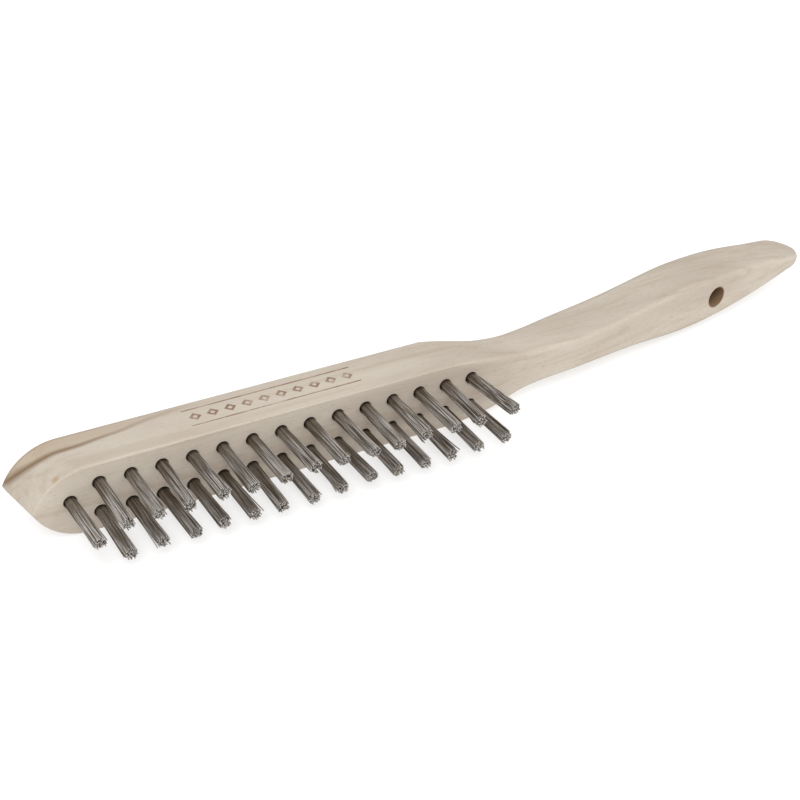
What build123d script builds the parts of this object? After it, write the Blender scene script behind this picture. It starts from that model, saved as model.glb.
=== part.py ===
from build123d import *

import os
from math import pi, sin

# A hand wire scratch brush, lying on one flank: a one-piece beech body, a tuft of steel wire
# at its nose, and two rows of tufts. Each tuft is folded over a wire staple in a blind hole.
# Working axes: X from the nose tip to the handle end, Y from the tufted face (0) to the back,
# Z across the body with its middle plane at 0. At the end everything is moved so that the
# origin is under the middle of the whole brush, on the surface that the lower flank lies on.

# Tufts and the blind holes they are set in
pair_count = 14
pair_pitch = 9.0
first_pair_from_nose = 21.7
row_spacing = 9.4
nose_tuft_from_nose = 13.4
nose_tuft_offset = 0.9    # the nose hole is drilled a little above the middle
hole_radius = 2.0
hole_depth = 9.5
tuft_length = 20.8        # tufted face to wire tips
tuft_clearance = 0.2      # packed wires to the wall of their hole
tuft_flare = 0.25         # how much wider the bundle is at its tips
fold_round = 0.9          # folded wires at the bottom of the hole
fold_gap = 0.1            # fold to hole bottom
last_pair = first_pair_from_nose + pair_pitch * (pair_count - 1)

# Wooden block
body_length = 290.0       # nose tip to handle end
block_width = 21.4        # lower flank to upper flank
block_height = 16.6       # tufted face to back
dip_before_last_pair = 8.7
face_past_last_pair = 6.9
block_length = last_pair - dip_before_last_pair  # the back dips into the handle from here
face_end = last_pair + face_past_last_pair       # the tufted face stays flat up to here
edge_round = 0.5          # worn corners
nose_length = 16.0        # from the ridge of the nose back to the full width
nose_lean = 3.0           # the ridge is this much further back at the tufted face

# Handle: each outline point is (distance past the end of the tufted face, height or half width)
under_rise = [(13.9, 1.8), (37.4, 3.4), (64.4, 7.5), (101.4, 13.0)]
back_rise = [(1.4, 15.0), (19.9, 18.7), (37.4, 22.4), (73.4, 27.9), (108.4, 33.6)]
half_widths = [(14.9, 6.4), (33.4, 5.6), (55.4, 6.0), (82.4, 8.0), (100.4, 7.4), (119.4, 5.4),
               (132.4, 3.3)]
waist_start = 2.0         # the flanks have drawn in by waist_inset this far before the face ends
waist_inset = 1.1
back_dip_slope = -0.12    # the back turns down this steeply where the block ends
end_radius = 8.0          # round of the handle end, seen from the flank
end_middle = 27.7         # middle of that round, above the tufted face
end_half_width = 0.9      # half of the blunt tip, seen from the back
end_fullness = 0.92       # how far round the end the cross-sections go
handle_back_round = 4.2   # soft corners along the back of the handle
handle_under_round = 1.4  # crisper corners along its underside
handle_stations = 56      # cross-sections that the handle is shaped through
end_stations = 9          # cross-sections in the rounded end
corner_share = 0.9        # most of a section's half size that a corner may take

# Hanging hole, drilled through the handle from back to underside
hang_hole_radius = 3.6
hang_hole_from_end = 46.4

# Wire staple over the fold of each tuft
staple_wire_radius = 0.4
staple_half_span = 1.35   # middle of the crossbar to the middle of a leg
staple_bend = 0.5         # bend radius of its two corners
fold_thickness = 1.3      # folded wires under the crossbar
leg_bite = 2.4            # how far a leg goes into the wood below its hole
leg_clearance = 0.02      # leg to the wood it is driven into
slot_clearance = 0.12     # staple to the wires that it was driven between

end_start = body_length - end_radius
half_width = block_width / 2
under_points = [(face_end, 0.0)] + [(face_end + far, low) for far, low in under_rise]
under_points += [(end_start, end_middle - end_radius)]
back_points = [(block_length, block_height)] + [(face_end + far, high) for far, high in back_rise]
back_points += [(end_start, end_middle + end_radius)]
width_points = [(block_length, half_width), (face_end - waist_start, half_width - waist_inset)]
width_points += [(face_end + far, half) for far, half in half_widths]
width_points += [(body_length, end_half_width)]
crossbar_depth = hole_depth - fold_gap - fold_thickness - staple_wire_radius
leg_depth = hole_depth + leg_bite


def smooth_at(points, x, start_slope=0.0):
    """Height at x of a smooth curve through the outline points."""
    def slope(i):
        if i == 0:
            return start_slope
        before, after = i - 1, min(i + 1, len(points) - 1)
        return (points[after][1] - points[before][1]) / (points[after][0] - points[before][0])

    if x <= points[0][0]:
        return points[0][1]
    i = 0
    while i < len(points) - 2 and x > points[i + 1][0]:
        i += 1
    (x0, height0), (x1, height1) = points[i], points[i + 1]
    span = x1 - x0
    t = (x - x0) / span
    rise = (2 * t**3 - 3 * t**2 + 1) * height0 + (3 * t**2 - 2 * t**3) * height1
    return rise + span * ((t**3 - 2 * t**2 + t) * slope(i) + (t**3 - t**2) * slope(i + 1))


def handle_section(x):
    """Cross-section of the handle at x: a rectangle with four rounded corners."""
    if x > end_start:
        reach = (end_radius**2 - (x - end_start) ** 2) ** 0.5
        low, high = end_middle - reach, end_middle + reach
    else:
        low = smooth_at(under_points, x)
        high = smooth_at(back_points, x, back_dip_slope)
    half = smooth_at(width_points, x)
    softness = min(1.0, max(0.0, (x - block_length) / (face_end - block_length)))
    most = corner_share * min(half, (high - low) / 2)
    back_round = min(edge_round + (handle_back_round - edge_round) * softness, most)
    under_round = min(edge_round + (handle_under_round - edge_round) * softness, most)
    outline = Pos((low + high) / 2, 0) * Rectangle(high - low, 2 * half)
    corners = outline.vertices().sort_by(Axis.X)
    outline = fillet(corners[:2], under_round)
    outline = fillet(outline.vertices().sort_by(Axis.X)[-2:], back_round)
    return Plane.YZ.offset(x) * outline


def handle():
    """The handle, shaped through its cross-sections from the block to the rounded end."""
    stations = [block_length + (end_start - block_length) * i / (handle_stations - 1)
                for i in range(handle_stations)]
    stations += [end_start + end_radius * sin(end_fullness * pi / 2 * i / end_stations)
                 for i in range(1, end_stations + 1)]
    return loft([handle_section(x) for x in stations], ruled=True)


def block():
    """The tufted block: straight flanks that curve in to a leaning ridge at the nose."""
    shoulder = nose_lean + nose_length
    far_end = block_length + 2 * nose_lean
    arc_radius = (nose_length**2 + half_width**2) / (2 * half_width)
    with BuildSketch(Plane.XZ) as plan:
        with BuildLine():
            RadiusArc((nose_lean, 0), (shoulder, half_width), arc_radius)
            Polyline((shoulder, half_width), (far_end, half_width), (far_end, -half_width),
                     (shoulder, -half_width))
            RadiusArc((shoulder, -half_width), (nose_lean, 0), arc_radius)
        make_face()
    lean = Vector(-nose_lean, block_height, 0)
    leaning = extrude(plan.sketch, amount=lean.length, dir=lean.normalized())
    room = Box(block_length, 2 * block_height, 2 * block_width,
               align=(Align.MIN, Align.CENTER, Align.CENTER))
    shape = leaning & room
    level = shape.edges().filter_by(lambda e: e.bounding_box().size.Y < edge_round)
    rims = level.filter_by(lambda e: e.center().X < block_length - edge_round)
    return fillet(rims, edge_round)


def rod_along_y(radius, start, end):
    """Round rod or bore of this radius along Y, from start to end."""
    return Pos(0, (start + end) / 2, 0) * Rot(90, 0, 0) * Cylinder(radius, end - start)


def tuft_seats():
    """Name and place of each tuft: (name, distance from nose tip, height off the middle)."""
    seats = [("nose", nose_tuft_from_nose, nose_tuft_offset)]
    for row, height in (("upper", row_spacing / 2), ("lower", -row_spacing / 2)):
        for i in range(pair_count):
            seats.append((f"{row}_{i + 1:02d}", first_pair_from_nose + pair_pitch * i, height))
    return seats


def tuft():
    """One bundle of folded wires: two halves, parted where its staple was driven in."""
    root = hole_radius - tuft_clearance
    bottom = hole_depth - fold_gap
    with BuildSketch() as half_section:
        with BuildLine():
            Polyline((0, bottom), (0, -tuft_length), (root + tuft_flare, -tuft_length),
                     (root, 0), (root, bottom - fold_round))
            RadiusArc((root, bottom - fold_round), (root - fold_round, bottom), -fold_round)
            Line((root - fold_round, bottom), (0, bottom))
        make_face()
    bundle = revolve(half_section.sketch, Axis.Y)
    slot = 2 * (staple_wire_radius + slot_clearance)
    parting = Pos(0, -2 * tuft_length, 0) * Box(
        4 * root, 2 * tuft_length + crossbar_depth + slot / 2, slot,
        align=(Align.CENTER, Align.MIN, Align.CENTER))
    leg_slot = Box(root, 2 * root, slot, align=(Align.MIN, Align.MIN, Align.CENTER))
    leg_from = staple_half_span - slot / 2
    legs = [turn * Pos(leg_from, crossbar_depth, 0) * leg_slot for turn in (Rot(), Rot(0, 180, 0))]
    return bundle - parting - legs


def staple():
    """One U of steel wire: a crossbar over the fold, and two legs driven into the wood."""
    ends = [(-staple_half_span, leg_depth), (-staple_half_span, crossbar_depth),
            (staple_half_span, crossbar_depth), (staple_half_span, leg_depth)]
    path = FilletPolyline(*ends, radius=staple_bend)
    start = Plane(origin=path @ 0, z_dir=path % 0)
    return sweep(start * Circle(staple_wire_radius), path)


def wooden_body():
    """Block and handle in one piece of wood, with its tuft holes and hanging hole."""
    body = block() + handle()
    mouth = -block_height
    bore = rod_along_y(hole_radius, mouth, hole_depth)
    leg_bore = rod_along_y(staple_wire_radius + leg_clearance, 0, leg_depth + leg_clearance)
    seat = bore + [Pos(side * staple_half_span, 0, 0) * leg_bore for side in (-1, 1)]
    holes = [Pos(x, 0, z) * seat for _, x, z in tuft_seats()]
    hang_hole = rod_along_y(hang_hole_radius, 0, body_length)
    hang_hole = Pos(body_length - hang_hole_from_end, 0, 0) * hang_hole
    return body - holes - hang_hole


def write(name, shape):
    """Move a finished piece into the shared frame and write it."""
    back = end_middle + end_radius
    to_frame = Pos(-body_length / 2, (tuft_length - back) / 2, block_width / 2)
    piece = to_frame * shape
    piece.label = name
    export_step(piece, f"parts/{name}.step")


os.makedirs("parts", exist_ok=True)
write("wooden_body", wooden_body())
one_tuft = tuft()
one_staple = staple()
for name, x, z in tuft_seats():
    write(f"tuft_{name}", Pos(x, 0, z) * one_tuft)
    write(f"staple_{name}", Pos(x, 0, z) * one_staple)
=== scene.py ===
import math
import random

import bpy
from mathutils import Matrix, Vector


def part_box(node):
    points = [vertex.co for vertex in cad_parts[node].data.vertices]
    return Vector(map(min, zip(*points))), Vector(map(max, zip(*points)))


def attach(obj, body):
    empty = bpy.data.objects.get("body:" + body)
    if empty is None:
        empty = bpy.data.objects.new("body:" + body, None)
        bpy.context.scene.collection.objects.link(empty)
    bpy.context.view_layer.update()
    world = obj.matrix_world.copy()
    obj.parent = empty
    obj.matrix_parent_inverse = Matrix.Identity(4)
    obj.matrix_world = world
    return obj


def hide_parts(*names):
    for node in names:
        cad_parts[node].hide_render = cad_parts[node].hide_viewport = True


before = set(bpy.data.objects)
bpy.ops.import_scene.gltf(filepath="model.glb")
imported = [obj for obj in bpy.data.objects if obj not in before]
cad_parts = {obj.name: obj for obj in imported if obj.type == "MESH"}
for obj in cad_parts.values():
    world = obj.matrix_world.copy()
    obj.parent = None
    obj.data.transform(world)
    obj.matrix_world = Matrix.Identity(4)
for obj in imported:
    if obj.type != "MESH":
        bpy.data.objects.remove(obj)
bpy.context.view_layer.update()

# --- Wooden body -----------------------------------------------------------------------------
# One piece of pale steamed beech, sawn, shaped on a spindle and sanded, but not varnished.
# Short dark flecks run with the grain, and a brown heartwood streak runs in from the nose.
# A plain pattern of lozenges between two rules is burnt into the upper flank.
mm = 0.001
wood_low, wood_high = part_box("wooden_body")
nose_tip = wood_low.x
tufted_face = wood_low.y
upper_flank = wood_high.z
hanging_hole_from_nose = 243.6 * mm
knot_from_nose = 10.2 * mm
knot_above_face = 1.3 * mm
knot_height = 19.1 * mm
crisp_edge_angle = math.radians(32)

wood_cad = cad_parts["wooden_body"]
wood = bpy.data.objects.new("beech_body", wood_cad.data.copy())
bpy.context.scene.collection.objects.link(wood)
bpy.ops.object.select_all(action="DESELECT")
wood.select_set(True)
bpy.context.view_layer.objects.active = wood
bpy.ops.mesh.customdata_custom_splitnormals_clear()
bpy.ops.object.mode_set(mode="EDIT")
bpy.ops.mesh.select_all(action="SELECT")
bpy.ops.mesh.remove_doubles(threshold=0.002 * mm)
bpy.ops.object.mode_set(mode="OBJECT")
bpy.ops.object.shade_smooth_by_angle(angle=crisp_edge_angle)
bpy.ops.object.modifier_add(type="WEIGHTED_NORMAL")
wood.modifiers[-1].keep_sharp = True
bpy.ops.object.modifier_apply(modifier=wood.modifiers[-1].name)


class Finish:
    """The nodes of one finish, each fed by plain numbers or by other nodes."""

    def __init__(self, name):
        self.material = bpy.data.materials.new(name)
        self.material.use_nodes = True
        self.tree = self.material.node_tree
        self.shader = self.tree.nodes["Principled BSDF"]

    def feed(self, socket, value):
        if isinstance(value, bpy.types.NodeSocket):
            self.tree.links.new(value, socket)
        elif value is not None:
            socket.default_value = value

    def math(self, operation, *values):
        made = self.tree.nodes.new("ShaderNodeMath")
        made.operation = operation
        for socket, value in zip(made.inputs, values):
            self.feed(socket, value)
        return made.outputs[0]

    def ramp(self, value, low, high):
        """0 at low, 1 at high, and smooth between them; high may be the smaller."""
        made = self.tree.nodes.new("ShaderNodeMapRange")
        made.interpolation_type = "SMOOTHSTEP"
        turned = low > high
        for name, setting in (("Value", value), ("From Min", min(low, high)),
                              ("From Max", max(low, high)), ("To Min", float(turned)),
                              ("To Max", float(not turned))):
            self.feed(made.inputs[name], setting)
        return made.outputs[0]

    def mix(self, share, first, second):
        made = self.tree.nodes.new("ShaderNodeMix")
        made.data_type = "RGBA"
        self.feed(made.inputs[0], share)
        self.feed(made.inputs[6], first)
        self.feed(made.inputs[7], second)
        return made.outputs[2]

    def tint(self, colour, stain, where, strength):
        return self.mix(self.math("MULTIPLY", where, strength), colour, stain)

    def place(self, stretch):
        """Object coordinates, stretched so that a pattern runs along the piece."""
        coords = self.tree.nodes.new("ShaderNodeTexCoord").outputs["Object"]
        made = self.tree.nodes.new("ShaderNodeMapping")
        self.feed(made.inputs["Vector"], coords)
        self.feed(made.inputs["Scale"], stretch)
        return made.outputs[0]

    def noise(self, stretch, detail=3.0, roughness=0.5, distortion=0.0):
        made = self.tree.nodes.new("ShaderNodeTexNoise")
        self.feed(made.inputs["Vector"], self.place(stretch))
        for name, setting in (("Scale", 1.0), ("Detail", detail), ("Roughness", roughness),
                              ("Distortion", distortion)):
            self.feed(made.inputs[name], setting)
        return made.outputs["Fac"]

    def distance(self, stretch, centre):
        """Distance from a point, measured in the stretched coordinates."""
        made = self.tree.nodes.new("ShaderNodeVectorMath")
        made.operation = "DISTANCE"
        self.feed(made.inputs[0], self.place(stretch))
        self.feed(made.inputs[1], tuple(a * b for a, b in zip(stretch, centre)))
        return made.outputs["Value"]

    def axes(self):
        coords = self.tree.nodes.new("ShaderNodeTexCoord").outputs["Object"]
        split = self.tree.nodes.new("ShaderNodeSeparateXYZ")
        self.feed(split.inputs[0], coords)
        return split.outputs["X"], split.outputs["Y"], split.outputs["Z"]

    def bump(self, height, strength, distance):
        made = self.tree.nodes.new("ShaderNodeBump")
        made.inputs["Strength"].default_value = strength
        made.inputs["Distance"].default_value = distance
        self.feed(made.inputs["Height"], height)
        self.feed(self.shader.inputs["Normal"], made.outputs[0])

    def done(self, colour, roughness, metallic=0.0):
        self.feed(self.shader.inputs["Base Color"], colour)
        self.feed(self.shader.inputs["Roughness"], roughness)
        self.shader.inputs["Metallic"].default_value = metallic
        return self.material


def beech_grain(n, fibres, flecks):
    """Slow changes of tone, then growth rings as long soft bands, then fibres and flecks."""
    dull_beech = (0.438, 0.381, 0.320, 1)
    pale_beech = (0.512, 0.460, 0.388, 1)
    ring_brown = (0.37, 0.29, 0.22, 1)
    fibre_brown = (0.34, 0.265, 0.20, 1)
    fleck_brown = (0.25, 0.175, 0.12, 1)
    tone = n.noise((14, 55, 70), 3, 0.55, 0.4)
    rings = n.noise((7, 330, 420), 2, 0.5, 0.6)
    colour = n.mix(n.ramp(tone, 0.3, 0.7), dull_beech, pale_beech)
    colour = n.tint(colour, ring_brown, n.ramp(rings, 0.46, 0.66), 0.34)
    colour = n.tint(colour, fibre_brown, n.ramp(fibres, 0.45, 0.72), 0.28)
    return n.tint(colour, fleck_brown, flecks, 0.42)


def heartwood_streak(n, colour, along, up, z):
    """It dips from the tip of the nose, then climbs slowly to the back edge."""
    tan_wood = (0.36, 0.26, 0.155, 1)
    dark_heart = (0.17, 0.105, 0.055, 1)
    edge_brown = (0.22, 0.16, 0.11, 1)
    lowest = 10.1 * mm
    dip = n.math("MULTIPLY", n.math("EXPONENT", n.math("DIVIDE", along, -4.5 * mm)), 6.5 * mm)
    past_turn = n.math("MAXIMUM", n.math("SUBTRACT", along, 21 * mm), 0.0)
    climb = n.math("MULTIPLY", past_turn, 0.17)
    wander = n.math("MULTIPLY", n.math("SUBTRACT", n.noise((90, 140, 90), 2), 0.5), 1.6 * mm)
    line = n.math("ADD", n.math("ADD", n.math("ADD", dip, climb), lowest), wander)
    above = n.math("SUBTRACT", up, line)
    half_width = n.math("MULTIPLY_ADD", n.ramp(along, 20 * mm, 0.0), 0.9 * mm, 1.2 * mm)
    core = n.math("SUBTRACT", 1.0, n.math("DIVIDE", n.math("ABSOLUTE", above), half_width))
    core = n.math("MAXIMUM", core, 0.0)
    seen = n.math("MULTIPLY", n.ramp(along, 62 * mm, 8 * mm), n.ramp(z, 9.5 * mm, 12.5 * mm))
    beyond = n.math("MULTIPLY", n.ramp(above, -1.2 * mm, 0.6 * mm), seen)
    colour = n.tint(colour, tan_wood, beyond, 0.38)
    colour = n.tint(colour, dark_heart, n.math("MULTIPLY", core, seen), 0.92)
    at_back = n.math("MULTIPLY", n.ramp(up, 15.1 * mm, 16.3 * mm), seen)
    return n.tint(colour, edge_brown, at_back, 0.45)


def knot_and_hole(n, colour):
    """A small yellow knot beside the nose tuft, and painted shade inside the hanging hole."""
    knot_yellow = (0.33, 0.21, 0.085, 1)
    painted_hole_shade_brown = (0.20, 0.115, 0.05, 1)
    knot = (nose_tip + knot_from_nose, tufted_face + knot_above_face, knot_height)
    hole = (nose_tip + hanging_hole_from_nose, 0, upper_flank / 2)
    from_knot = n.distance((1, 1.3, 1), knot)
    from_hole = n.distance((1, 0, 1), hole)
    colour = n.tint(colour, knot_yellow, n.ramp(from_knot, 1.9 * mm, 0.3 * mm), 0.6)
    # Painted shade: the walls of the hanging hole are darkened in their colour
    return n.tint(colour, painted_hole_shade_brown, n.ramp(from_hole, 4.1 * mm, 3.55 * mm), 0.85)


def burnt_pattern(n, along, up, z):
    """1 where the upper flank is scorched: a row of lozenges between two rules."""
    pitch = 5.3 * mm
    start = 51 * mm
    stop = 104 * mm
    middle = 9.2 * mm
    rule_from_middle = 3.9 * mm
    between = n.math("MULTIPLY", n.math("GREATER_THAN", along, start), n.math("LESS_THAN", along, stop))
    inside = n.math("MULTIPLY", between, n.math("GREATER_THAN", z, upper_flank - 0.3 * mm))
    cell = n.math("PINGPONG", n.math("SUBTRACT", along, start), pitch / 2)
    off_middle = n.math("ABSOLUTE", n.math("SUBTRACT", up, middle))
    reach = n.math("ADD", n.math("SUBTRACT", pitch / 2, cell), off_middle)
    outer = n.ramp(reach, 2.0 * mm, 1.75 * mm)
    inner = n.ramp(reach, 0.65 * mm, 0.9 * mm)
    lozenge = n.math("MULTIPLY", outer, inner)
    off_rule = n.math("ABSOLUTE", n.math("SUBTRACT", off_middle, rule_from_middle))
    rule = n.ramp(off_rule, 0.36 * mm, 0.2 * mm)
    return n.math("MULTIPLY", n.math("MAXIMUM", lozenge, rule), inside)


def beech():
    n = Finish("beech")
    scorched_brown = (0.17, 0.08, 0.045, 1)
    x, y, z = n.axes()
    along = n.math("SUBTRACT", x, nose_tip)
    up = n.math("SUBTRACT", y, tufted_face)
    fibres = n.noise((120, 4200, 4200), 4, 0.6)
    flecks = n.ramp(n.noise((520, 3600, 3600), 1, 0.4), 0.66, 0.75)
    colour = beech_grain(n, fibres, flecks)
    colour = heartwood_streak(n, colour, along, up, z)
    colour = knot_and_hole(n, colour)

    # The stamp burns unevenly, so the pattern is paler in patches
    burn = burnt_pattern(n, along, up, z)
    patchy = n.ramp(n.noise((150, 260, 260), 3, 0.7), 0.30, 0.60)
    scorch = n.math("MULTIPLY", burn, n.math("MULTIPLY_ADD", patchy, 0.5, 0.3))
    colour = n.mix(scorch, colour, scorched_brown)

    # Sanded, unvarnished wood: open pores at the flecks, and the pattern pressed in a little
    roughness = n.math("MULTIPLY_ADD", fibres, 0.14, 0.70)
    height = n.math("MULTIPLY_ADD", flecks, -0.6, n.math("MULTIPLY_ADD", burn, -2.2, fibres))
    n.bump(height, 0.35, 0.06 * mm)
    n.shader.inputs["Specular IOR Level"].default_value = 0.18
    return n.done(colour, roughness)


wood.data.materials.clear()
wood.data.materials.append(beech())
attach(wood, "root")
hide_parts("wooden_body")

# --- Tufts -----------------------------------------------------------------------------------
# Each is a bundle of straight stainless wires, folded in half over a staple at the bottom of
# its hole. The ends are cut after setting, so they are uneven, and a few wires stand off.
wire_radius = 0.17 * mm
wire_spacing = 0.375 * mm
bundle_radius = 1.62 * mm
parting_half = 0.6 * mm      # the innermost wires keep this far from the staple's plane
steps_out = 5                # points along each half of a wire
staple_half_depth = 0.5 * mm
end_unevenness = 0.55 * mm
stray_share = 0.05           # of the wire ends, and how much further those stand off
stray_factor = 4.5
last_tuft_lean = 2.0 * mm    # the last upper tuft is bent towards the handle


def places_in_bundle():
    """Where wires cross the mouth of a hole, on one side of the parting."""
    found = []
    row_height = wire_spacing * math.sqrt(3) / 2
    for row in range(1, 10):
        height = (row - 0.5) * row_height
        for column in range(-6, 7):
            side = (column + 0.5 * (row % 2)) * wire_spacing
            if math.hypot(side, height) <= bundle_radius:
                found.append((side, height))
    return found


def folded_wire(rng, seat, lean, side, height):
    """Points of one wire: in from its first tip, under the staple, and out to the other tip."""
    centre, mouth, tip, crossbar, bottom = seat

    def half(sign):
        spread = rng.uniform(0.02, 0.20)
        stray = Vector((rng.gauss(0, 0.10), 0, rng.gauss(0, 0.10))) * mm
        if rng.random() < stray_share:
            stray *= stray_factor
        length = (mouth - tip) - abs(rng.gauss(0, end_unevenness))
        points = []
        for i in range(steps_out + 1):
            out = 1 - i / steps_out
            across = Vector((side, 0, sign * height)) * (1 + spread * out)
            drift = lean * out + stray * out * out
            points.append(centre + across + drift + Vector((0, mouth - length * out, 0)))
        return points

    share = height / bundle_radius
    deep = parting_half + share * (bundle_radius - parting_half) * 0.9
    under = (bottom - crossbar) * (0.52 + 0.3 * share)
    fold = [centre + Vector((side, crossbar + under * math.sin(a), deep * math.cos(a)))
            for a in (0, math.radians(60), math.radians(120), math.pi)]
    return half(1) + fold + half(-1)[::-1]


def tuft_of_wires(name, seed):
    rng = random.Random(seed)
    low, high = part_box("tuft_" + name)
    staple_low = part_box("staple_" + name)[0]
    centre = Vector(((low.x + high.x) / 2, 0, (low.z + high.z) / 2))
    seat = (centre, tufted_face, low.y, staple_low.y + staple_half_depth, high.y)
    lean = Vector((rng.gauss(0, 0.35), 0, rng.gauss(0, 0.30))) * mm
    if name.endswith("upper_14"):
        lean.x += last_tuft_lean
    curve = bpy.data.curves.new("wires_" + name, "CURVE")
    curve.dimensions = "3D"
    curve.bevel_depth = wire_radius
    curve.bevel_resolution = 1
    curve.use_fill_caps = True
    for side, height in places_in_bundle():
        points = folded_wire(rng, seat, lean, side, height)
        spline = curve.splines.new("POLY")
        spline.points.add(len(points) - 1)
        spline.use_smooth = True
        for point, place in zip(spline.points, points):
            point.co = (*place, 1)
    wires = bpy.data.objects.new("wires_" + name, curve)
    bpy.context.scene.collection.objects.link(wires)
    bpy.ops.object.select_all(action="DESELECT")
    wires.select_set(True)
    bpy.context.view_layer.objects.active = wires
    bpy.ops.object.convert(target="MESH")
    return bpy.context.view_layer.objects.active


def wire_steel():
    """Drawn steel, browner and darker towards the wood, with painted shade in the holes, and bright at
    cut tips.
    """
    n = Finish("wire_steel")
    dull_steel = (0.18, 0.145, 0.11, 1)
    clean_steel = (0.66, 0.62, 0.59, 1)
    draw_mark_brown = (0.10, 0.075, 0.05, 1)
    root_brown = (0.15, 0.105, 0.06, 1)
    painted_tuft_hole_shade = (0.04, 0.026, 0.016, 1)
    cut_steel = (0.55, 0.53, 0.50, 1)
    y = n.axes()[1]
    each_wire = n.noise((2300, 60, 2300), 1, 0.5)
    drawn = n.noise((5200, 500, 5200), 3, 0.6)
    near_root = n.ramp(y, tufted_face - 11 * mm, tufted_face - 1 * mm)
    in_hole_shade = n.ramp(y, tufted_face - 1.6 * mm, tufted_face + 0.3 * mm)
    tips = n.ramp(y, tufted_face - 18.5 * mm, tufted_face - 20.3 * mm)
    colour = n.mix(n.ramp(each_wire, 0.35, 0.68), dull_steel, clean_steel)
    colour = n.tint(colour, draw_mark_brown, n.ramp(drawn, 0.5, 0.7), 0.5)
    # The wires are browner and darker over the 10 mm nearest the wood
    colour = n.tint(colour, root_brown, near_root, 0.55)
    # Painted shade: the wires turn almost black at the mouth of each hole and inside it
    colour = n.tint(colour, painted_tuft_hole_shade, in_hole_shade, 0.85)
    colour = n.tint(colour, cut_steel, tips, 0.35)
    n.bump(drawn, 0.25, 0.02 * mm)
    return n.done(colour, n.math("MULTIPLY_ADD", drawn, 0.25, 0.30), metallic=0.8)


steel = wire_steel()
tuft_names = sorted(name[len("tuft_"):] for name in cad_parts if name.startswith("tuft_"))
for seed, name in enumerate(tuft_names):
    tuft = tuft_of_wires(name, seed)
    tuft.data.materials.clear()
    tuft.data.materials.append(steel)
    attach(tuft, "root")
    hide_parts("tuft_" + name)

# --- Staples ---------------------------------------------------------------------------------
# U-shaped pieces of bright galvanised wire over the fold of each tuft, hidden in the wood.
# Their shape comes from the design as it is, with a drawn and slightly scuffed zinc finish.


def zinc_wire():
    n = Finish("zinc_wire")
    bright_zinc = (0.52, 0.53, 0.54, 1)
    scuffed_zinc = (0.34, 0.34, 0.34, 1)
    scuffs = n.noise((900, 2500, 2500), 4, 0.65)
    colour = n.mix(n.ramp(scuffs, 0.4, 0.7), bright_zinc, scuffed_zinc)
    n.bump(scuffs, 0.2, 0.02 * mm)
    return n.done(colour, n.math("MULTIPLY_ADD", scuffs, 0.3, 0.25), metallic=1.0)


zinc = zinc_wire()
for name in tuft_names:
    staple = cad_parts["staple_" + name]
    staple.data.materials.clear()
    staple.data.materials.append(zinc)

# --- Table, light and camera -------------------------------------------------------------------
# A plain white table that glows a little, so that shadows on it are faint. A large softbox
# hangs over the viewer's shoulder and a weaker one to the right, under an even white sky.
bpy.ops.mesh.primitive_plane_add(size=6, location=(0, 0, 0))
table = bpy.context.object
table.name = "table"
paint = Finish("glowing_table")
# Painted light: the table glows though it is no lamp, so the shadows on it fade and it lights the brush
# a little from below
paint.shader.inputs["Emission Color"].default_value = (1, 1, 1, 1)
paint.shader.inputs["Emission Strength"].default_value = 0.6
table.data.materials.append(paint.done((0.45, 0.45, 0.448, 1), 0.9))


def softbox(name, place, size, watts):
    """A round soft light that faces the origin."""
    light = bpy.data.lights.new(name, "AREA")
    light.shape = "DISK"
    light.size = size
    light.energy = watts
    lamp = bpy.data.objects.new(name, light)
    lamp.location = place
    lamp.rotation_euler = (-Vector(place)).to_track_quat("-Z", "Y").to_euler()
    bpy.context.scene.collection.objects.link(lamp)


softbox("key", (-0.65, -0.85, 1.25), 1.0, 13)
softbox("fill", (0.9, -0.9, 0.9), 1.2, 5)
world = bpy.data.worlds.new("studio")
world.use_nodes = True
world.node_tree.nodes["Background"].inputs["Color"].default_value = (1, 1, 1, 1)
world.node_tree.nodes["Background"].inputs["Strength"].default_value = 0.85
bpy.context.scene.world = world
bpy.context.scene.view_settings.view_transform = "Standard"

camera = bpy.data.objects.new("camera", bpy.data.cameras.new("camera"))
bpy.context.scene.collection.objects.link(camera)
right = Vector((0.8643, -0.5014, 0.0401))
toward_viewer = Vector((-0.4401, -0.7152, 0.5430))
upward = toward_viewer.cross(right)
turned = Matrix((right, upward, toward_viewer)).transposed().to_4x4()
camera.matrix_world = Matrix.Translation((-0.23779, -0.34390, 0.27004)) @ turned
camera.data.lens = 72.68
camera.data.sensor_width = 36
camera.data.clip_start = 0.01
bpy.context.scene.camera = camera
